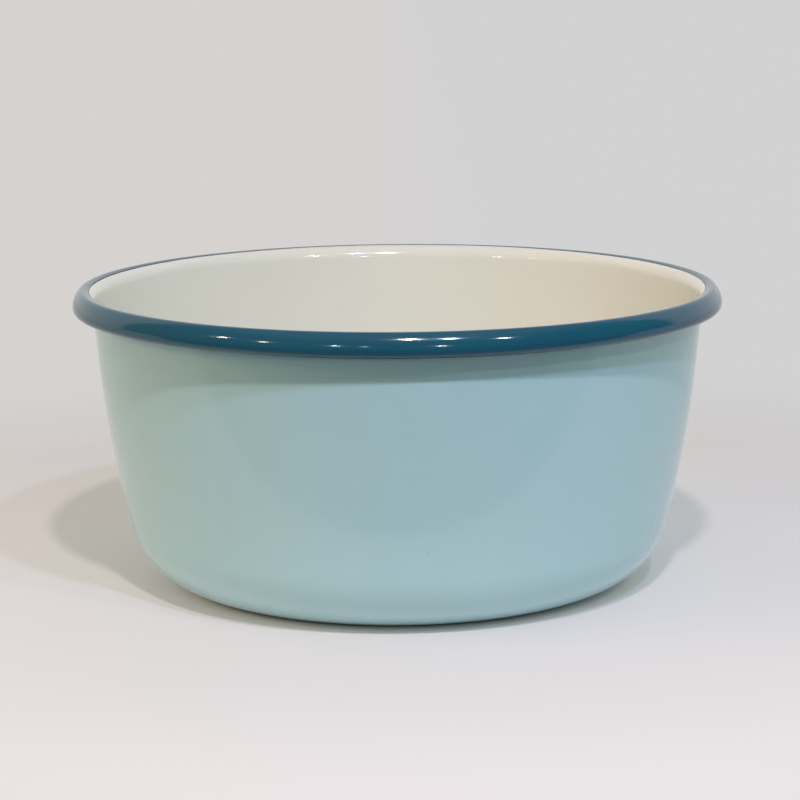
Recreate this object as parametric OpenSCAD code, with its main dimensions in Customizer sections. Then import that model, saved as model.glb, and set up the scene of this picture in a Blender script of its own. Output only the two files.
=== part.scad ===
// Enamelled steel bowl. One sheet of steel is deep-drawn into the bowl and its edge is rolled
// outwards into a hollow bead. Glass coats are then fused over it: a ground coat on each side,
// a cover coat inside, a cover coat outside, and a coloured edging round the bead.
// Each layer lies between two depths of one cross-section line, turned about the axis.

/* [Bowl] */
// Diameter over the rolled rim
rim_d = 180; // [140:1:240]
// Height from the foot to the top of the rim
bowl_h = 82.5; // [60:0.5:120]
// Lean of the wall from upright, just under the rim, in degrees
mouth_lean = 3; // [1:0.5:8]
// Lean of the wall from upright, where it meets the corner, in degrees
foot_lean = 13; // [9.5:0.5:20]
// Outside radius of the corner between the wall and the base
corner_r = 21; // [10:0.5:30]

/* [Base] */
// Width of the flat ring that the bowl stands on
foot_ring_w = 5; // [2:0.5:12]
// How far the middle of the base is pressed up
panel_lift = 1.2; // [0.4:0.1:2.5]
// Radius of the two bends in the step round the pressed-up panel
step_r = 4; // [2.5:0.5:8]

/* [Rim] */
// Radius of the rounding from the inside of the wall up to the top of the rim
lip_r = 4; // [3:0.1:5]
// How far the top of the rim lies in from the widest part of the bead
crown_inset = 2.7; // [2.5:0.1:3.5]
// How far the widest part of the bead lies below the top of the rim
bead_drop = 4.6; // [3.6:0.1:4.8]
// Radius of the bend below the widest part of the bead
low_r = 1.7; // [1.4:0.1:2.4]
// Radius of the bead's underside, which runs back to the wall
under_r = 9; // [7:0.5:14]
// Gap left between the sheet's cut edge and the wall, where the roll closes
curl_gap = 0.3; // [0.1:0.05:0.8]
// How far the edging laps over to the inside, from the top of the bead, in degrees
edging_lap = 23; // [5:1:60]

/* [Sheet and enamel] */
// Thickness of the steel sheet
steel_t = 0.6; // [0.4:0.05:0.9]
// Thickness of the ground coat on each side
ground_t = 0.12; // [0.08:0.01:0.2]
// Thickness of the cover coats and of the edging
cover_t = 0.15; // [0.1:0.01:0.25]

/* [Hidden] */

$fn = 180;

// Straight pieces that each round stretch of the cross-section is drawn with
bend_steps = 4;
corner_steps = 12;
wall_steps = 8;
lip_steps = 2;
lap_steps = 10;
roll_steps = 40;
closing_steps = 2;

// Depths of the layers' faces, measured from the outside surface towards the inside
outside_face = 0;
outside_ground = outside_face + cover_t;
outside_steel = outside_ground + ground_t;
inside_steel = outside_steel + steel_t;
inside_ground = inside_steel + ground_t;
inside_face = inside_ground + cover_t;
wall_t = inside_face - outside_face;

// The bead. The inside of the wall runs on as the outside of the roll, which is an oval of five
// arcs: the lip, the crown, the side, the low bend and the underside. Each runs on from the one
// before it, so a point on the roll is told by the direction that its face looks in.
rim_r = rim_d / 2;
crown_turn = 90;
side_turn = 45;
widest_turn = 0;
lowest_turn = -90;
arcs_sum = crown_inset + bead_drop;
arcs_apart = (bead_drop - crown_inset) / (2 * sin(side_turn) - 1);
crown_r = (arcs_sum - arcs_apart) / 2;
side_r = (arcs_sum + arcs_apart) / 2;
widest_z = bowl_h - bead_drop;
lip_centre = [rim_r - crown_inset, bowl_h - lip_r];
under_centre = [rim_r - low_r, widest_z - low_r + under_r];
roll_rs = [lip_r, crown_r, side_r, low_r, under_r];
roll_centres = [
    lip_centre,
    [lip_centre.x, bowl_h - crown_r],
    [rim_r - side_r, widest_z],
    [rim_r - low_r, widest_z],
    under_centre
];
function roll_arc(turn) =
    turn > crown_turn ? 0 : turn > side_turn ? 1 : turn > widest_turn ? 2 : turn > lowest_turn ? 3 : 4;
function roll_point(depth, turn) =
    let (k = roll_arc(turn))
        roll_centres[k] + (roll_rs[k] - wall_t + depth) * [cos(turn), sin(turn)];

// The wall is an arc that leans more towards the foot, and the corner arc runs on from it
function wall_normal(lean) = [cos(lean), -sin(lean)];
wall_top = lip_centre - (lip_r - wall_t) * wall_normal(mouth_lean);
wall_r = (wall_top.y - corner_r * (1 - sin(foot_lean))) / (sin(foot_lean) - sin(mouth_lean));
wall_centre = wall_top - wall_r * wall_normal(mouth_lean);
corner_centre = wall_centre + (wall_r - corner_r) * wall_normal(foot_lean);

// The base: a flat foot ring, a step of two equal bends, and a panel pressed up inside it
foot_outer_r = corner_centre.x;
foot_inner_r = foot_outer_r - foot_ring_w;
step_turn = acos(1 - panel_lift / (2 * step_r));
panel_r = foot_inner_r - 2 * step_r * sin(step_turn);

// Where the roll comes round to the wall again, for a face on the wall at a given depth:
// its lean on the wall, and its direction from the middle of the underside's arc
centres_apart = norm(under_centre - wall_centre);
under_lean = asin((wall_centre.y - under_centre.y) / centres_apart);
function opposite_angle(side, next, opposite) =
    acos((side * side + next * next - opposite * opposite) / (2 * side * next));
function seam_lean(depth) =
    under_lean + opposite_angle(centres_apart, wall_r - depth, under_r - depth);
function seam_turn(depth) =
    -180 - under_lean + opposite_angle(centres_apart, under_r - depth, wall_r - depth);

// Directions that the roll's face looks in, running over the top and down the outside
roll_start = 180 - mouth_lean;
lap_turn = crown_turn + edging_lap;
cut_turn = seam_turn(outside_steel) + curl_gap / (under_r - outside_steel) * 180 / PI;

// Points along an arc, from its first or second point on
function arc(centre, radius, from, to, steps, first = 1) = [
    for (i = [first:steps])
        let (turn = from + (to - from) * i / steps)
            centre + radius * [cos(turn), sin(turn)]
];

function reversed(line) = [for (i = [len(line) - 1:-1:0]) line[i]];

// The cross-section line at a depth, stretch by stretch from the axis to the seam
function base_line(depth) = concat(
    [[0, panel_lift + depth]],
    arc([panel_r, panel_lift - step_r], step_r + depth, 90, 90 - step_turn, bend_steps, 0),
    arc([foot_inner_r, step_r], step_r - depth, -90 - step_turn, -90, bend_steps),
    arc(corner_centre, corner_r - depth, -90, -foot_lean, corner_steps, 0)
);
function wall_line(depth, from, to, steps) =
    arc(wall_centre, wall_r - depth, -from, -to, steps);
function roll_line(depth, from, to, steps, first = 1) = [
    for (i = [first:steps]) roll_point(depth, from + (to - from) * i / steps)
];

// Up the outside of the wall to the seam under the bead
function outside_line(depth) = concat(
    base_line(depth),
    wall_line(depth, foot_lean, seam_lean(depth), wall_steps)
);
// Up the inside of the wall and over the bead as far as the edging reaches
function inside_line(depth) = concat(
    base_line(depth),
    wall_line(depth, foot_lean, mouth_lean, wall_steps),
    roll_line(depth, roll_start, lap_turn, lap_steps)
);
// Round the bead from the edge of the edging to the sheet's cut edge, and on to the seam
function roll_to_cut(depth, first = 1) = roll_line(depth, lap_turn, cut_turn, roll_steps, first);
function roll_to_seam(depth) =
    roll_line(depth, cut_turn, seam_turn(wall_t - depth), closing_steps);

module turned(line, other_line) {
    rotate_extrude() polygon(concat(line, reversed(other_line)));
}

// The drawn sheet with its rolled rim, all one piece
module steel_bowl() {
    under_side = concat(
        outside_line(outside_steel),
        wall_line(outside_steel, seam_lean(outside_steel), mouth_lean, lip_steps),
        roll_line(outside_steel, roll_start, lap_turn, lap_steps),
        roll_to_cut(outside_steel)
    );
    upper_side = concat(inside_line(inside_steel), roll_to_cut(inside_steel));
    color("#8d9093") turned(under_side, upper_side);
}

// Dark first coat on the inside face, which also covers the bead and closes its seam
module inside_ground_coat() {
    steel_side = concat(
        inside_line(inside_steel),
        roll_to_cut(inside_steel),
        roll_to_seam(inside_steel)
    );
    free_side = concat(
        inside_line(inside_ground),
        roll_to_cut(inside_ground),
        roll_to_seam(inside_ground)
    );
    color("#2b3138") turned(steel_side, free_side);
}

// Dark first coat on the outside face, up to the seam
module outside_ground_coat() {
    color("#2b3138") turned(outside_line(outside_ground), outside_line(outside_steel));
}

// Cream coat inside, up to the edging
module inside_cover_coat() {
    color("#d9d5c6") turned(inside_line(inside_ground), inside_line(inside_face));
}

// Pale aqua coat outside and under the base, up to the seam
module outside_cover_coat() {
    color("#a3c3c6") turned(outside_line(outside_face), outside_line(outside_ground));
}

// Teal edging round the bead, from inside its top to the seam under it
module rim_edging() {
    ground_side = concat(roll_to_cut(inside_ground, 0), roll_to_seam(inside_ground));
    free_side = concat(roll_to_cut(inside_face, 0), roll_to_seam(inside_face));
    color("#1d5f78") turned(ground_side, free_side);
}

steel_bowl();
inside_ground_coat();
outside_ground_coat();
inside_cover_coat();
outside_cover_coat();
rim_edging();
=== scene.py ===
from math import acos, asin, atan2, cos, hypot, pi, radians, sin

import bmesh
import bpy
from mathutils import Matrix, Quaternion, Vector


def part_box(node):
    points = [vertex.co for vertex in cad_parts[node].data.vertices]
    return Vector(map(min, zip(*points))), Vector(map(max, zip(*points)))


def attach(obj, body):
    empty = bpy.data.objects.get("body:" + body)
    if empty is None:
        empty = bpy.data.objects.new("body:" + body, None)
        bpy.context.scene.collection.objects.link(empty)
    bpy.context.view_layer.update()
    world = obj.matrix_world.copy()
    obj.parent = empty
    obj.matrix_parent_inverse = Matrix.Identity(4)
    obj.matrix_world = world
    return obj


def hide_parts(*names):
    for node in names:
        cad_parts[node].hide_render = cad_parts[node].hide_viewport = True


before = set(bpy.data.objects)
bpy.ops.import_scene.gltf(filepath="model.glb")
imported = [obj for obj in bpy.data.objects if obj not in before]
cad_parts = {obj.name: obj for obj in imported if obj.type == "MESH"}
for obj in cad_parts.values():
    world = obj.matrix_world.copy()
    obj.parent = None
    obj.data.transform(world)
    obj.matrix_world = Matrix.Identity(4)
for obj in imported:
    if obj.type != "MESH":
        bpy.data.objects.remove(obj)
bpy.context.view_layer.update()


# The drawn sheet: one disc of cold-rolled steel, deep-drawn into the bowl, its middle pressed up
# and its edge rolled outwards into a bead. Enamel covers all of it, so its solid stays as it is,
# with the fine rings that the drawing die leaves in bare steel.
def new_material(name):
    """An empty node material with its output, and a Principled shader joined to it."""
    material = bpy.data.materials.new(name)
    material.use_nodes = True
    nodes = material.node_tree.nodes
    nodes.clear()
    output = nodes.new("ShaderNodeOutputMaterial")
    shader = nodes.new("ShaderNodeBsdfPrincipled")
    material.node_tree.links.new(shader.outputs["BSDF"], output.inputs["Surface"])
    return material, nodes, material.node_tree.links, shader


def dress(piece, material):
    """Gives a piece one material in place of what it had."""
    piece.data.materials.clear()
    piece.data.materials.append(material)


mark_fineness = 900.0
mark_detail = 3.0
mark_stretch = (0.06, 0.06, 1.0)
dark_steel = (0.24, 0.25, 0.26, 1)
light_steel = (0.36, 0.37, 0.38, 1)
steel_roughness = 0.38
steel_sheet, nodes, links, shader = new_material("drawn_steel")
coordinates = nodes.new("ShaderNodeTexCoord")
drawing_marks = nodes.new("ShaderNodeTexNoise")
drawing_marks.inputs["Scale"].default_value = mark_fineness
drawing_marks.inputs["Detail"].default_value = mark_detail
squeeze = nodes.new("ShaderNodeMapping")
squeeze.inputs["Scale"].default_value = mark_stretch
links.new(coordinates.outputs["Object"], squeeze.inputs["Vector"])
links.new(squeeze.outputs["Vector"], drawing_marks.inputs["Vector"])
steel_tone = nodes.new("ShaderNodeValToRGB")
steel_tone.color_ramp.elements[0].color = dark_steel
steel_tone.color_ramp.elements[1].color = light_steel
links.new(drawing_marks.outputs["Fac"], steel_tone.inputs["Fac"])
links.new(steel_tone.outputs["Color"], shader.inputs["Base Color"])
shader.inputs["Metallic"].default_value = 1.0
shader.inputs["Roughness"].default_value = steel_roughness
dress(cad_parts["steel_bowl"], steel_sheet)


# The ground coats: a thin dark glass with cobalt in it, fired on first because it grips the steel.
# They lie between the sheet and the coats that show, so their solids stay as they are, with the
# fine bubbles that such a coat is full of.
bubble_fineness = 2200.0
bubble_share = 0.35
bubble_colour = (0.05, 0.06, 0.075, 1)
glass_colour = (0.018, 0.024, 0.032, 1)
ground_roughness = 0.25
ground_enamel, nodes, links, shader = new_material("ground_enamel")
coordinates = nodes.new("ShaderNodeTexCoord")
bubbles = nodes.new("ShaderNodeTexVoronoi")
bubbles.inputs["Scale"].default_value = bubble_fineness
links.new(coordinates.outputs["Object"], bubbles.inputs["Vector"])
ground_tone = nodes.new("ShaderNodeValToRGB")
ground_tone.color_ramp.elements[0].color = bubble_colour
ground_tone.color_ramp.elements[1].color = glass_colour
ground_tone.color_ramp.elements[1].position = bubble_share
links.new(bubbles.outputs["Distance"], ground_tone.inputs["Fac"])
links.new(ground_tone.outputs["Color"], shader.inputs["Base Color"])
shader.inputs["Roughness"].default_value = ground_roughness
for node in ("inside_ground_coat", "outside_ground_coat"):
    dress(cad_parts[node], ground_enamel)


# The outside cover coat: pale aqua glass over the outside wall, the rounded foot and the whole
# underside, up to the seam under the bead. It is sprayed on and fired, so it pools a little in
# the seam.
rim_low, rim_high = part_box("rim_edging")
rim_r = min(rim_high.x, -rim_low.x)
bowl_h = rim_high.z
lip_r = 0.004
crown_inset = 0.0027
bead_drop = 0.0046
low_r = 0.0017
under_r = 0.009
wall_t = 0.00114
coat_t = 0.00015
mouth_lean = radians(3)
foot_lean = radians(13)
corner_r = 0.021
foot_ring_w = 0.005
panel_lift = 0.0012
step_r = 0.004
pool_r = 0.0007
steps_round = 288
bend_steps = 8
corner_steps = 28
wall_steps = 40
crease = radians(50)
weld_reach = 1e-7


def wall_normal(lean):
    """Out of the wall, across the axis and along it, where the wall leans by that much."""
    return Vector((cos(lean), -sin(lean)))


lip_centre = Vector((rim_r - crown_inset, bowl_h - lip_r))
under_centre = Vector((rim_r - low_r, bowl_h - bead_drop - low_r + under_r))
wall_top = lip_centre - (lip_r - wall_t) * wall_normal(mouth_lean)
wall_r = (wall_top.y - corner_r * (1 - sin(foot_lean))) / (sin(foot_lean) - sin(mouth_lean))
wall_centre = wall_top - wall_r * wall_normal(mouth_lean)
corner_centre = wall_centre + (wall_r - corner_r) * wall_normal(foot_lean)
foot_inner_r = corner_centre.x - foot_ring_w
step_turn = acos(1 - panel_lift / (2 * step_r))
panel_r = foot_inner_r - 2 * step_r * sin(step_turn)


def draw_line(bm, end, across, along):
    """Draws a cross-section on from its end with a straight line, and returns the new end."""
    drawn = bmesh.ops.extrude_vert_indiv(bm, verts=[end])["verts"][0]
    drawn.co = (across, 0, along)
    return drawn


def draw_arc(bm, end, centre, turn, steps):
    """Draws a cross-section on from its end with an arc, counted anticlockwise."""
    arc = bmesh.ops.spin(
        bm, geom=[end], cent=(centre.x, 0, centre.y), axis=(0, -1, 0), angle=turn, steps=steps
    )
    return arc["geom_last"][0]


def draw_base(bm, depth):
    """Draws panel, step, foot ring and corner, at a depth below the outside surface."""
    end = bm.verts.new((0, 0, panel_lift + depth))
    end = draw_line(bm, end, panel_r / 2, panel_lift + depth)
    end = draw_line(bm, end, panel_r, panel_lift + depth)
    end = draw_arc(bm, end, Vector((panel_r, panel_lift - step_r)), -step_turn, bend_steps)
    end = draw_arc(bm, end, Vector((foot_inner_r, step_r)), step_turn, bend_steps)
    end = draw_line(bm, end, corner_centre.x, depth)
    return draw_arc(bm, end, corner_centre, pi / 2 - foot_lean, corner_steps)


def turn_round(bm, lowest_faces):
    """Turns the cross-section about the axis, closes the pole, and points the faces to one side.

    The side is the one that shows, told by where the lowest face points: 1 is up, -1 is down."""
    bmesh.ops.spin(
        bm, geom=bm.verts[:] + bm.edges[:], cent=(0, 0, 0), axis=(0, 0, 1),
        angle=2 * pi, steps=steps_round, use_merge=True,
    )
    bmesh.ops.remove_doubles(bm, verts=bm.verts, dist=weld_reach)
    bmesh.ops.recalc_face_normals(bm, faces=bm.faces)
    lowest = min(bm.faces, key=lambda face: face.calc_center_median().z)
    if lowest.normal.z * lowest_faces < 0:
        bmesh.ops.reverse_faces(bm, faces=bm.faces)


def finish_piece(bm, name):
    """Makes the mesh a piece of the object, smooth but for edges sharper than the crease."""
    for face in bm.faces:
        face.smooth = True
    mesh = bpy.data.meshes.new(name)
    bm.to_mesh(mesh)
    bm.free()
    mesh.set_sharp_from_angle(angle=crease)
    piece = bpy.data.objects.new(name, mesh)
    bpy.context.scene.collection.objects.link(piece)
    return piece


def opposite_angle(side, beside, opposite):
    """The angle between two sides of a triangle, across from the third."""
    return acos((side ** 2 + beside ** 2 - opposite ** 2) / (2 * side * beside))


centres_apart = (under_centre - wall_centre).length
under_lean = asin((wall_centre.y - under_centre.y) / centres_apart)
pool_lean = under_lean + opposite_angle(centres_apart, wall_r + pool_r, under_r + pool_r)
pool_centre = wall_centre + (wall_r + pool_r) * wall_normal(pool_lean)
to_bead = under_centre - pool_centre
to_wall = wall_centre - pool_centre
pool_turn = to_wall.angle_signed(to_bead)

bm = bmesh.new()
end = draw_base(bm, depth=0)
end = draw_arc(bm, end, wall_centre, foot_lean - pool_lean, wall_steps)
draw_arc(bm, end, pool_centre, pool_turn, bend_steps)
turn_round(bm, lowest_faces=-1)
bmesh.ops.solidify(bm, geom=bm.faces[:], thickness=coat_t)
aqua_coat = finish_piece(bm, "aqua_outside_coat")

cloud_fineness = 38.0
cloud_detail = 4.0
cloud_roughness = 0.55
cloud_low = 0.3
cloud_high = 0.7
speck_fineness = 420.0
speck_edge = 0.10
speck_heart = 0.05
haze_fineness = 160.0
haze_detail = 2.0
clear_roughness = 0.08
hazy_roughness = 0.12
ripple_fineness = 110.0
ripple_detail = 1.0
ripple_depth = 0.000012
glass_ior = 1.52


def enamel_group():
    """The look that all fired enamel shares: cloudy depth of colour, faint ripples, rare specks."""
    group = bpy.data.node_groups.new("fired_enamel", "ShaderNodeTree")
    for name, kind in (
        ("Colour", "NodeSocketColor"),
        ("Thin Colour", "NodeSocketColor"),
        ("Speck Colour", "NodeSocketColor"),
        ("Speck Amount", "NodeSocketFloat"),
    ):
        group.interface.new_socket(name, in_out="INPUT", socket_type=kind)
    for name, kind in (
        ("Colour", "NodeSocketColor"),
        ("Roughness", "NodeSocketFloat"),
        ("Height", "NodeSocketFloat"),
    ):
        group.interface.new_socket(name, in_out="OUTPUT", socket_type=kind)
    nodes, links = group.nodes, group.links
    entry = nodes.new("NodeGroupInput")
    out = nodes.new("NodeGroupOutput")
    place = nodes.new("ShaderNodeTexCoord")

    clouds = nodes.new("ShaderNodeTexNoise")
    clouds.inputs["Scale"].default_value = cloud_fineness
    clouds.inputs["Detail"].default_value = cloud_detail
    clouds.inputs["Roughness"].default_value = cloud_roughness
    links.new(place.outputs["Object"], clouds.inputs["Vector"])
    cloud_range = nodes.new("ShaderNodeMapRange")
    cloud_range.inputs["From Min"].default_value = cloud_low
    cloud_range.inputs["From Max"].default_value = cloud_high
    links.new(clouds.outputs["Fac"], cloud_range.inputs["Value"])
    depth = nodes.new("ShaderNodeMix")
    depth.data_type = "RGBA"
    links.new(cloud_range.outputs["Result"], depth.inputs["Factor"])
    links.new(entry.outputs["Colour"], depth.inputs["A"])
    links.new(entry.outputs["Thin Colour"], depth.inputs["B"])

    specks = nodes.new("ShaderNodeTexVoronoi")
    specks.inputs["Scale"].default_value = speck_fineness
    links.new(place.outputs["Object"], specks.inputs["Vector"])
    speck_size = nodes.new("ShaderNodeMapRange")
    speck_size.inputs["From Min"].default_value = speck_edge
    speck_size.inputs["From Max"].default_value = speck_heart
    links.new(specks.outputs["Distance"], speck_size.inputs["Value"])
    speck_pick = nodes.new("ShaderNodeSeparateColor")
    links.new(specks.outputs["Color"], speck_pick.inputs["Color"])
    speck_chance = nodes.new("ShaderNodeMath")
    speck_chance.operation = "LESS_THAN"
    links.new(speck_pick.outputs["Red"], speck_chance.inputs[0])
    links.new(entry.outputs["Speck Amount"], speck_chance.inputs[1])
    speck_mask = nodes.new("ShaderNodeMath")
    speck_mask.operation = "MULTIPLY"
    links.new(speck_size.outputs["Result"], speck_mask.inputs[0])
    links.new(speck_chance.outputs["Value"], speck_mask.inputs[1])
    speckled = nodes.new("ShaderNodeMix")
    speckled.data_type = "RGBA"
    links.new(speck_mask.outputs["Value"], speckled.inputs["Factor"])
    links.new(depth.outputs["Result"], speckled.inputs["A"])
    links.new(entry.outputs["Speck Colour"], speckled.inputs["B"])
    links.new(speckled.outputs["Result"], out.inputs["Colour"])

    haze = nodes.new("ShaderNodeTexNoise")
    haze.inputs["Scale"].default_value = haze_fineness
    haze.inputs["Detail"].default_value = haze_detail
    links.new(place.outputs["Object"], haze.inputs["Vector"])
    polish = nodes.new("ShaderNodeMapRange")
    polish.inputs["To Min"].default_value = clear_roughness
    polish.inputs["To Max"].default_value = hazy_roughness
    links.new(haze.outputs["Fac"], polish.inputs["Value"])
    links.new(polish.outputs["Result"], out.inputs["Roughness"])

    ripples = nodes.new("ShaderNodeTexNoise")
    ripples.inputs["Scale"].default_value = ripple_fineness
    ripples.inputs["Detail"].default_value = ripple_detail
    links.new(place.outputs["Object"], ripples.inputs["Vector"])
    pits = nodes.new("ShaderNodeMath")
    pits.operation = "SUBTRACT"
    links.new(ripples.outputs["Fac"], pits.inputs[0])
    links.new(speck_mask.outputs["Value"], pits.inputs[1])
    links.new(pits.outputs["Value"], out.inputs["Height"])
    return group


fired_enamel = enamel_group()


def enamel_material(name, colour, thin_colour, speck_colour, speck_amount):
    """A glossy enamel of one colour, with the shared fired look."""
    material, nodes, links, shader = new_material(name)
    fired = nodes.new("ShaderNodeGroup")
    fired.node_tree = fired_enamel
    fired.inputs["Colour"].default_value = (*colour, 1)
    fired.inputs["Thin Colour"].default_value = (*thin_colour, 1)
    fired.inputs["Speck Colour"].default_value = (*speck_colour, 1)
    fired.inputs["Speck Amount"].default_value = speck_amount
    bump = nodes.new("ShaderNodeBump")
    bump.inputs["Distance"].default_value = ripple_depth
    links.new(fired.outputs["Height"], bump.inputs["Height"])
    links.new(fired.outputs["Colour"], shader.inputs["Base Color"])
    links.new(fired.outputs["Roughness"], shader.inputs["Roughness"])
    links.new(bump.outputs["Normal"], shader.inputs["Normal"])
    shader.inputs["IOR"].default_value = glass_ior
    return material


aqua_enamel = enamel_material(
    "aqua_enamel",
    colour=(0.386, 0.590, 0.591),
    thin_colour=(0.396, 0.596, 0.595),
    speck_colour=(0.22, 0.36, 0.38),
    speck_amount=0.006,
)
dress(aqua_coat, aqua_enamel)
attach(aqua_coat, "root")
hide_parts("outside_cover_coat")


# The inside cover coat: cream glass over the floor and the inside wall, run up over the lip to
# meet the edging. It is poured round, drained and fired. The line where the two meet wanders a
# little, because it is guided by hand.
edging_lap = radians(113)
lap_blend = radians(35)
lap_swing = radians(7)
lap_waves = (
    (3, 0.4, radians(0.41)),
    (7, 1.9, radians(0.25)),
    (19, 0.7, radians(0.14)),
)
lip_steps = 16


def lap_edge(turn):
    """Where the hand-guided edge of the edging runs, at a turn about the bowl's axis."""
    edge = edging_lap + lap_swing * cos(2 * turn)
    for waves_round, start, size in lap_waves:
        edge += size * sin(waves_round * turn + start)
    return edge


def shift_lap(bm, fixed, moved):
    """Moves points on the bead, so that its lap runs along the wandering edge.

    Points at the fixed direction from the lip's middle stay, and those at the moved one go all
    the way to the edge."""
    lip_reach = 1.2 * lip_r
    rounding = 0.0001
    for vert in bm.verts:
        across = hypot(vert.co.x, vert.co.y)
        rise = Vector((across, vert.co.z)) - lip_centre
        tilt = atan2(rise.y, rise.x)
        share = (tilt - fixed) / (moved - fixed)
        if rise.length > lip_reach or rise.y < 0 or not 0 < share < 1 + rounding:
            continue
        turn = atan2(vert.co.y, vert.co.x)
        tilt += share * (lap_edge(turn) - moved)
        reach = (lip_centre.x + rise.length * cos(tilt)) / across
        vert.co.x *= reach
        vert.co.y *= reach
        vert.co.z = lip_centre.y + rise.length * sin(tilt)


bm = bmesh.new()
end = draw_base(bm, depth=wall_t)
end = draw_arc(bm, end, wall_centre, foot_lean - mouth_lean, wall_steps)
draw_arc(bm, end, lip_centre, edging_lap - (pi - mouth_lean), lip_steps)
turn_round(bm, lowest_faces=1)
shift_lap(bm, fixed=edging_lap + lap_blend, moved=edging_lap)
bmesh.ops.solidify(bm, geom=bm.faces[:], thickness=coat_t)
cream_coat = finish_piece(bm, "cream_inside_coat")
cream_enamel = enamel_material(
    "cream_enamel",
    colour=(0.675, 0.685, 0.584),
    thin_colour=(0.685, 0.695, 0.599),
    speck_colour=(0.45, 0.42, 0.34),
    speck_amount=0.005,
)
dress(cream_coat, cream_enamel)
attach(cream_coat, "root")
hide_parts("inside_cover_coat")


# The rim edging: deep teal glass run round the rolled bead with a guided brush and fired last,
# from just inside the crown of the bead to the seam under it.
crown = pi / 2
shoulder = pi / 4
crown_steps = 12
side_steps = 16
low_steps = 20
arcs_sum = crown_inset + bead_drop
arcs_apart = (bead_drop - crown_inset) / (2 * sin(shoulder) - 1)
crown_r = (arcs_sum - arcs_apart) / 2
side_r = (arcs_sum + arcs_apart) / 2
crown_centre = Vector((lip_centre.x, bowl_h - crown_r))
side_centre = Vector((rim_r - side_r, bowl_h - bead_drop))
low_centre = Vector((rim_r - low_r, bowl_h - bead_drop))
seam_turn = pi + under_lean - opposite_angle(centres_apart, under_r, wall_r)
bm = bmesh.new()
lap_start = lip_centre + lip_r * Vector((cos(edging_lap), sin(edging_lap)))
end = bm.verts.new((lap_start.x, 0, lap_start.y))
end = draw_arc(bm, end, lip_centre, crown - edging_lap, bend_steps)
end = draw_arc(bm, end, crown_centre, shoulder - crown, crown_steps)
end = draw_arc(bm, end, side_centre, -shoulder, side_steps)
end = draw_arc(bm, end, low_centre, -pi / 2, low_steps)
draw_arc(bm, end, under_centre, pi / 2 - seam_turn, bend_steps)
turn_round(bm, lowest_faces=-1)
shift_lap(bm, fixed=crown, moved=edging_lap)
bmesh.ops.solidify(bm, geom=bm.faces[:], thickness=coat_t)
teal_edging = finish_piece(bm, "teal_rim_edging")
teal_enamel = enamel_material(
    "teal_enamel",
    colour=(0.0055, 0.066, 0.105),
    thin_colour=(0.0075, 0.076, 0.116),
    speck_colour=(0.002, 0.03, 0.05),
    speck_amount=0.01,
)
dress(teal_edging, teal_enamel)
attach(teal_edging, "root")
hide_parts("rim_edging")


# The set: a wide pale floor that runs out into an even pale background. It looks even, but the
# light that it gives back, and what the bead mirrors of it, dims in two steps in front of the bowl.
# Its glow fades out under the foot, so that the contact shadow stays dark.
floor_reach = 8.0
floor_sides = 96
floor_roughness = 0.7
floor_gloss = 0.2
floor_colour = (0.723, 0.722, 0.687)
near_colour = (0.82, 0.81, 0.80)
near_edge = -0.118
front_colour = (0.27, 0.27, 0.25)
front_edge = -0.19
dim_colour = (0.08, 0.09, 0.11)
edge_blur = 0.004
# The background's two colours hold painted warm light on the left and painted cool light on the
# right.
background_left = (0.67, 0.645, 0.63)
background_right = (0.645, 0.64, 0.65)
background_near = 0.17
background_far = 0.34
background_share = 0.25
background_blend = 0.15
contact_dark = 0.058
contact_open = 0.067

bm = bmesh.new()
bmesh.ops.create_circle(bm, cap_ends=True, radius=floor_reach, segments=floor_sides)
mesh = bpy.data.meshes.new("floor")
bm.to_mesh(mesh)
bm.free()
floor = bpy.data.objects.new("floor", mesh)
bpy.context.scene.collection.objects.link(floor)

pale_floor, nodes, links, shader = new_material("pale_floor")
shader.inputs["Roughness"].default_value = floor_roughness
shader.inputs["Specular IOR Level"].default_value = floor_gloss
coordinates = nodes.new("ShaderNodeTexCoord")
place = nodes.new("ShaderNodeSeparateXYZ")
links.new(coordinates.outputs["Object"], place.inputs["Vector"])
seen = nodes.new("ShaderNodeLightPath")


def smooth_share(tree, value, start, stop, first=0.0):
    """How far a value lies between two others, rising smoothly from the first share to 1."""
    share = tree.nodes.new("ShaderNodeMapRange")
    share.interpolation_type = "SMOOTHSTEP"
    share.inputs["From Min"].default_value = start
    share.inputs["From Max"].default_value = stop
    share.inputs["To Min"].default_value = first
    tree.links.new(value, share.inputs["Value"])
    return share.outputs["Result"]


def blended(tree, share, first, second):
    """One colour that turns into another, each a colour or what an earlier blend gives."""
    blend = tree.nodes.new("ShaderNodeMix")
    blend.data_type = "RGBA"
    tree.links.new(share, blend.inputs["Factor"])
    for socket, colour in (("A", first), ("B", second)):
        if isinstance(colour, tuple):
            blend.inputs[socket].default_value = (*colour, 1)
        else:
            tree.links.new(colour, blend.inputs[socket])
    return blend.outputs["Result"]


def joined_shares(tree, operation, first, second):
    """Two shares added, up to 1, or multiplied."""
    joined = tree.nodes.new("ShaderNodeMath")
    joined.operation = operation
    joined.use_clamp = True
    tree.links.new(first, joined.inputs[0])
    tree.links.new(second, joined.inputs[1])
    return joined.outputs["Value"]


tree = pale_floor.node_tree
along, across = place.outputs["Y"], place.outputs["X"]
by_camera = seen.outputs["Is Camera Ray"]
is_near = smooth_share(tree, along, near_edge - edge_blur, near_edge + edge_blur)
in_front = smooth_share(tree, along, front_edge - edge_blur, front_edge + edge_blur)
front_tone = blended(tree, in_front, dim_colour, front_colour)
given_back = blended(tree, is_near, front_tone, near_colour)
links.new(blended(tree, by_camera, given_back, floor_colour), shader.inputs["Base Color"])

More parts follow.
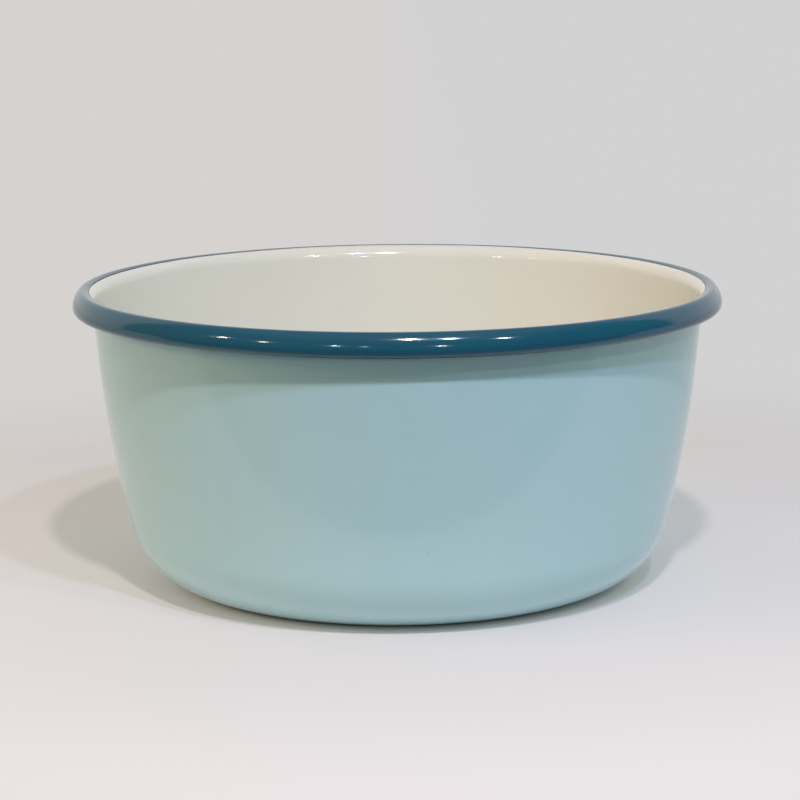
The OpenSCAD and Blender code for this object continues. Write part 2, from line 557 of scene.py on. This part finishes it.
reach = nodes.new("ShaderNodeVectorMath")
reach.operation = "LENGTH"
links.new(coordinates.outputs["Object"], reach.inputs[0])
from_bowl = reach.outputs["Value"]
# The glow is painted light on the floor, seen by the camera and mirrored near the bowl. It is a
# quarter of the floor near the bowl, which lifts the bowl's cast shadows there; far off it is all
# of the floor, and under the foot it is none.
far_off = smooth_share(tree, from_bowl, background_near, background_far, background_share)
clear_of_foot = smooth_share(tree, from_bowl, contact_dark, contact_open)
glowing = joined_shares(tree, "MULTIPLY", far_off, clear_of_foot)
in_gloss, in_glass = seen.outputs["Is Glossy Ray"], seen.outputs["Is Transmission Ray"]
mirrored = joined_shares(tree, "ADD", in_gloss, in_glass)
mirrored_near = joined_shares(tree, "MULTIPLY", mirrored, is_near)
shown = joined_shares(tree, "ADD", by_camera, mirrored_near)
# The glow turns from the warm left colour to the cool right one: painted warm and cool side light.
sideways = smooth_share(tree, across, -background_blend, background_blend)
glow = nodes.new("ShaderNodeEmission")
links.new(blended(tree, sideways, background_left, background_right), glow.inputs["Color"])
mixed = nodes.new("ShaderNodeMixShader")
links.new(joined_shares(tree, "MULTIPLY", glowing, shown), mixed.inputs["Fac"])
links.new(shader.outputs["BSDF"], mixed.inputs[1])
links.new(glow.outputs["Emission"], mixed.inputs[2])
links.new(mixed.outputs["Shader"], nodes["Material Output"].inputs["Surface"])
dress(floor, pale_floor)


# The light: a pale tent, brightest behind the bowl and dimmer in front. Two lamps high on the
# camera's side give the main light, and a warm fill comes from the left. Small lamps make the rest
# of the bright points on the bead.
top_light = (0.43, 0.39, 0.38)
back_left_light = (0.81, 0.795, 0.78)
back_right_light = (0.79, 0.785, 0.78)
front_left_light = (0.22, 0.225, 0.185)
front_right_light = (0.11, 0.255, 0.245)
side_blend = 0.8
back_start = 0.29
back_full = 0.39
top_start = 0.62
top_full = 0.88
without_rise = (1, 1, 0)

world = bpy.data.worlds.new("tent")
bpy.context.scene.world = world
world.use_nodes = True
tree = world.node_tree
nodes = tree.nodes
links = tree.links
nodes.clear()
sky = nodes.new("ShaderNodeOutputWorld")
tent = nodes.new("ShaderNodeBackground")
links.new(tent.outputs["Background"], sky.inputs["Surface"])
aim = nodes.new("ShaderNodeTexCoord")
rise = nodes.new("ShaderNodeSeparateXYZ")
links.new(aim.outputs["Generated"], rise.inputs["Vector"])
flattened = nodes.new("ShaderNodeVectorMath")
flattened.operation = "MULTIPLY"
flattened.inputs[1].default_value = without_rise
links.new(aim.outputs["Generated"], flattened.inputs[0])
level_aim = nodes.new("ShaderNodeVectorMath")
level_aim.operation = "NORMALIZE"
links.new(flattened.outputs["Vector"], level_aim.inputs[0])
level = nodes.new("ShaderNodeSeparateXYZ")
links.new(level_aim.outputs["Vector"], level.inputs["Vector"])

to_right = smooth_share(tree, level.outputs["X"], -side_blend, side_blend)
to_back = smooth_share(tree, level.outputs["Y"], back_start, back_full)
to_top = smooth_share(tree, rise.outputs["Z"], top_start, top_full)
front_light = blended(tree, to_right, front_left_light, front_right_light)
back_light = blended(tree, to_right, back_left_light, back_right_light)
round_light = blended(tree, to_back, front_light, back_light)
links.new(blended(tree, to_top, round_light, top_light), tent.inputs["Color"])

lamp_target = Vector((0, -0.085, 0.08))


def lamp(name, bearing, height, distance, size, watts, colour, mirrored=True):
    """A round lamp, at a bearing right of the camera's side and a height, in degrees."""
    light = bpy.data.lights.new(name, "AREA")
    light.shape = "DISK"
    light.size = size
    light.energy = watts
    light.color = colour
    towards = Vector((
        sin(radians(bearing)) * cos(radians(height)),
        -cos(radians(bearing)) * cos(radians(height)),
        sin(radians(height)),
    ))
    holder = bpy.data.objects.new(name, light)
    holder.location = lamp_target + distance * towards
    holder.rotation_mode = "QUATERNION"
    holder.rotation_quaternion = (-towards).to_track_quat("-Z", "Y")
    holder.visible_camera = False
    holder.visible_glossy = mirrored
    bpy.context.scene.collection.objects.link(holder)


plain_white = (1.0, 0.97, 0.97)
soft_white = (1.0, 0.82, 0.88)
cool_white = (0.57, 0.65, 1.0)
warm_white = (1.0, 0.85, 0.66)
warm_fill = (1.0, 0.61, 0.19)
lamp(
    "main_lamp", bearing=6, height=52.3, distance=0.75, size=0.045,
    watts=3.1, colour=soft_white,
)
lamp(
    "right_lamp", bearing=24.6, height=50.5, distance=0.75, size=0.04,
    watts=2.15, colour=cool_white,
)
lamp(
    "far_right_lamp", bearing=44, height=39, distance=0.78, size=0.04,
    watts=0.6, colour=plain_white,
)
lamp(
    "low_right_lamp", bearing=15.8, height=17, distance=0.8, size=0.03,
    watts=0.24, colour=plain_white,
)
lamp(
    "low_mid_lamp", bearing=-11.8, height=16.4, distance=0.8, size=0.03,
    watts=0.05, colour=plain_white,
)
lamp(
    "low_left_lamp", bearing=-22.6, height=18.5, distance=0.8, size=0.03,
    watts=0.2, colour=plain_white,
)
lamp(
    "left_lamp", bearing=-50, height=22, distance=0.8, size=0.03,
    watts=0.22, colour=warm_white,
)
lamp(
    "far_left_lamp", bearing=-68, height=26, distance=0.86, size=0.04,
    watts=0.4, colour=warm_white,
)
lamp(
    "left_fill", bearing=-85, height=20, distance=1.0, size=0.45,
    watts=1.9, colour=warm_fill, mirrored=False,
)


# The camera: a long lens a little above the rim, looking slightly down. Its place, turn and roll
# set the bowl in the photograph's frame.
photo_px = 800
focal_px = 2500
camera_place = Vector((0, -0.6911, 0.17916))
camera_dip = 10.651
camera_turn = 0.045
camera_roll = -0.439
camera_data = bpy.data.cameras.new("camera")
camera_data.lens = camera_data.sensor_width * focal_px / photo_px
camera = bpy.data.objects.new("camera", camera_data)
camera.location = camera_place
looking = Vector((
    sin(radians(camera_turn)) * cos(radians(camera_dip)),
    cos(radians(camera_turn)) * cos(radians(camera_dip)),
    -sin(radians(camera_dip)),
))
roll = Quaternion((0, 0, 1), radians(camera_roll))
camera.rotation_mode = "QUATERNION"
camera.rotation_quaternion = looking.to_track_quat("-Z", "Y") @ roll
bpy.context.scene.collection.objects.link(camera)
bpy.context.scene.camera = camera
bpy.context.scene.view_settings.view_transform = "Standard"
